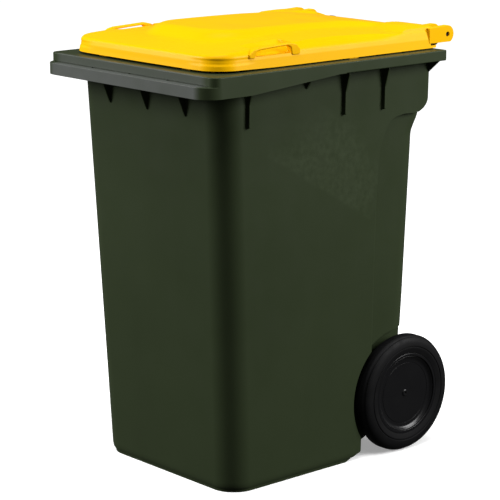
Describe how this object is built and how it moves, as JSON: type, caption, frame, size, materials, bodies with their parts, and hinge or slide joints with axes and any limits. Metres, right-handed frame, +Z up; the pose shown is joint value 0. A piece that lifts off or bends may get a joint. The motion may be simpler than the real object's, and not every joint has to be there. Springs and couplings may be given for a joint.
{
  "type": "two-wheeled refuse bin",
  "caption": "Large two-wheeled refuse bin: tapered moulded body with a comb lip round its mouth, domed lid on rear hinge pins, and rubber-tyred wheels on a steel axle.",
  "frame": {"origin": "on the ground, under the middle of the bin's bounding box", "axes": "+Z up, -Y the front with the comb lip, +Y the back with the wheels, the hinge and the handle, +X the bin's own left seen from behind, the picture's right-hand side"},
  "size_m": [0.62, 0.841, 1.0967],
  "materials": {
    "body_plastic": "dark olive-green polyethylene with a fine moulded grain",
    "lid_plastic": "bright yellow polyethylene, satin",
    "black_plastic": "black moulded plastic, satin",
    "tyre_rubber": "solid black rubber",
    "zinc_steel": "zinc-plated steel",
    "pale_nylon": "uncoloured nylon"
  },
  "bodies": {
    "bin": {"bin_body": "body_plastic", "chip_nest_plug": "black_plastic", "axle": "zinc_steel", "lid_pin_left": "black_plastic", "lid_pin_right": "black_plastic", "axle_spacer_left": "pale_nylon", "axle_spacer_right": "pale_nylon"},
    "lid": {"lid": "lid_plastic"},
    "wheel_left": {"wheel_tyre_left": "tyre_rubber", "wheel_rim_left": "black_plastic", "wheel_bush_left": "pale_nylon", "hub_cover_left": "black_plastic", "lock_spring_left": "zinc_steel", "lock_cap_left": "black_plastic"},
    "lock_left": {"lock_plunger_left": "zinc_steel"},
    "wheel_right": {"wheel_tyre_right": "tyre_rubber", "wheel_rim_right": "black_plastic", "wheel_bush_right": "pale_nylon", "hub_cover_right": "black_plastic", "lock_spring_right": "zinc_steel", "lock_cap_right": "black_plastic"},
    "lock_right": {"lock_plunger_right": "zinc_steel"}
  },
  "joints": [
    {"name": "lid_hinge", "type": "hinge", "parent": "bin", "child": "lid", "pos_m": [0, 0.3895, 1.053], "axis": [-1, 0, 0], "range_deg": [0, 265]},
    {"name": "wheel_spin_left", "type": "hinge", "parent": "bin", "child": "wheel_left", "pos_m": [-0.252, 0.2705, 0.15], "axis": [1, 0, 0], "continuous": true},
    {"name": "lock_plunger_left_slide", "type": "slide", "parent": "wheel_left", "child": "lock_left", "axis": [0, 0, 1], "range_m": [0, 0.0032], "stiffness_N_per_m": 800, "springref_m": -0.006, "deforming": ["lock_spring_left"]},
    {"name": "wheel_spin_right", "type": "hinge", "parent": "bin", "child": "wheel_right", "pos_m": [0.252, 0.2705, 0.15], "axis": [1, 0, 0], "continuous": true},
    {"name": "lock_plunger_right_slide", "type": "slide", "parent": "wheel_right", "child": "lock_right", "axis": [0, 0, 1], "range_m": [0, 0.0032], "stiffness_N_per_m": 800, "springref_m": -0.006, "deforming": ["lock_spring_right"]}
  ]
}
